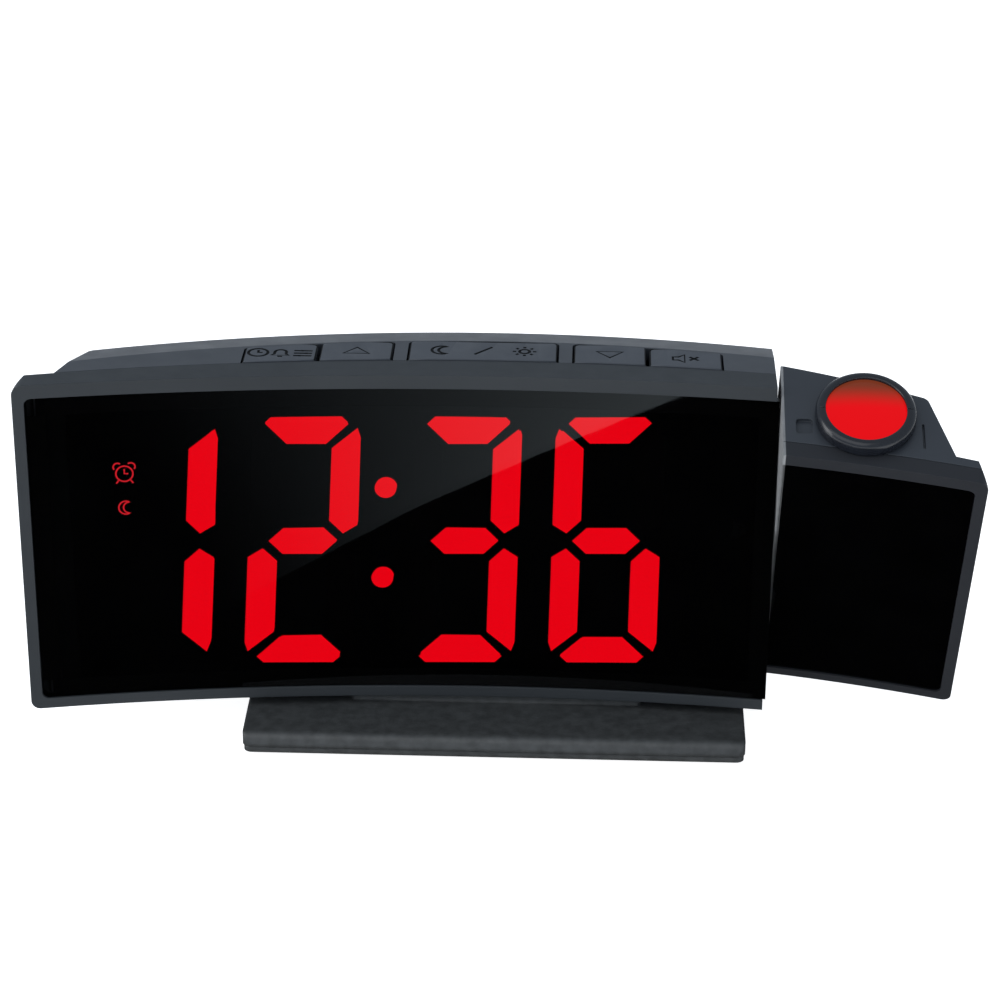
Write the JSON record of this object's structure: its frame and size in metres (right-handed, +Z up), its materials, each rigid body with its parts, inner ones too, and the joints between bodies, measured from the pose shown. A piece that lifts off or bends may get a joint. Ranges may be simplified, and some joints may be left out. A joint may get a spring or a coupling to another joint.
{
  "type": "projection alarm clock",
  "caption": "Wide alarm clock with a concave black display, slanted red digits, a row of top keys, a low stand and an end pod that turns to aim a red projector lens.",
  "frame": {"origin": "on the surface the clock stands on, under the middle of its overall width and depth", "axes": "+X to the right across the display as the viewer sees it, +Y from the display to the back, +Z up"},
  "size_m": [0.198, 0.0594, 0.085],
  "materials": {
    "frame_plastic": "gloss moulding",
    "panel_plastic": "polished black tinted acrylic",
    "shell_plastic": "fine satin moulding",
    "mask_plastic": "matte",
    "lit_plastic": "red light pipe",
    "unlit_plastic": "dark red light pipe",
    "indicator_plastic": "dark red light pipe",
    "board": "solder mask",
    "lamp": "clear epoxy",
    "switch_plastic": "matte",
    "screw_steel": "zinc plated",
    "speaker_frame": "matte",
    "cell_steel": "bright steel",
    "contact_metal": "sprung strip",
    "black_steel": "blackened",
    "stand_plastic": "satin",
    "foot_rubber": "matte",
    "acetal": "natural acetal",
    "washer_plastic": "fibre",
    "ring_plastic": "satin",
    "lens_red": "polished",
    "lens_clear": "polished",
    "key_plastic": "satin"
  },
  "bodies": {
    "clock": {"front_frame": "frame_plastic", "front_panel": "panel_plastic", "back_shell": "shell_plastic", "display_block": "mask_plastic", "segments_lit": "lit_plastic", "segments_unlit": "unlit_plastic", "indicator_lights": "indicator_plastic", "display_board": "board", "display_lamps": "lamp", "key_board": "board", "key_switches": "switch_plastic", "key_board_screws": "screw_steel", "speaker": "speaker_frame", "cell_holder": "switch_plastic", "coin_cell": "cell_steel", "cell_contact": "contact_metal", "power_inlet": "switch_plastic", "case_screws": "black_steel", "stand_cover": "stand_plastic", "stand_tray": "stand_plastic", "rubber_feet": "foot_rubber", "stand_screws": "black_steel"},
    "pod": {"pivot_shaft": "acetal", "friction_washer": "washer_plastic", "spring_washer": "screw_steel", "retaining_ring": "screw_steel", "pod_frame": "frame_plastic", "pod_panel": "panel_plastic", "pod_shell": "shell_plastic", "pod_screws": "black_steel", "projector_barrel": "switch_plastic", "barrel_nut": "washer_plastic", "relay_lens": "lens_clear", "slide_carrier": "switch_plastic", "lcd_slide": "lens_clear", "condenser_lens": "lens_clear", "projector_led": "lamp", "lamp_board": "board", "lamp_screws": "screw_steel"},
    "focus": {"focus_ring": "ring_plastic", "front_lens": "lens_red"},
    "key_mode": {"key_mode": "key_plastic"},
    "key_up": {"key_up": "key_plastic"},
    "key_snooze": {"key_snooze": "key_plastic"},
    "key_down": {"key_down": "key_plastic"},
    "key_mute": {"key_mute": "key_plastic"},
    "battery_door": {"battery_door": "shell_plastic"}
  },
  "joints": [
    {"name": "projector_tilt", "type": "hinge", "parent": "clock", "child": "pod", "pos_m": [0.0587, 0.00169, 0.0483], "axis": [1, 0, 0], "range_deg": [-116, 64]},
    {"name": "focus_turn", "type": "hinge", "parent": "pod", "child": "focus", "pos_m": [0.075, -0.01483, 0.07807], "axis": [0, -0.4384, 0.8988], "range_deg": [-60, 60]},
    {"name": "key_mode_press", "type": "slide", "parent": "clock", "child": "key_mode", "axis": [0, 0, -1], "range_m": [0, 0.0005], "stiffness_N_per_m": 600},
    {"name": "key_up_press", "type": "slide", "parent": "clock", "child": "key_up", "axis": [0, 0, -1], "range_m": [0, 0.0005], "stiffness_N_per_m": 600},
    {"name": "key_snooze_press", "type": "slide", "parent": "clock", "child": "key_snooze", "axis": [0, 0, -1], "range_m": [0, 0.0005], "stiffness_N_per_m": 600},
    {"name": "key_down_press", "type": "slide", "parent": "clock", "child": "key_down", "axis": [0, 0, -1], "range_m": [0, 0.0005], "stiffness_N_per_m": 600},
    {"name": "key_mute_press", "type": "slide", "parent": "clock", "child": "key_mute", "axis": [0, 0, -1], "range_m": [0, 0.0005], "stiffness_N_per_m": 600},
    {"name": "battery_door_pull", "type": "slide", "parent": "clock", "child": "battery_door", "axis": [0, 1, 0], "range_m": [0, 0.012]}
  ]
}
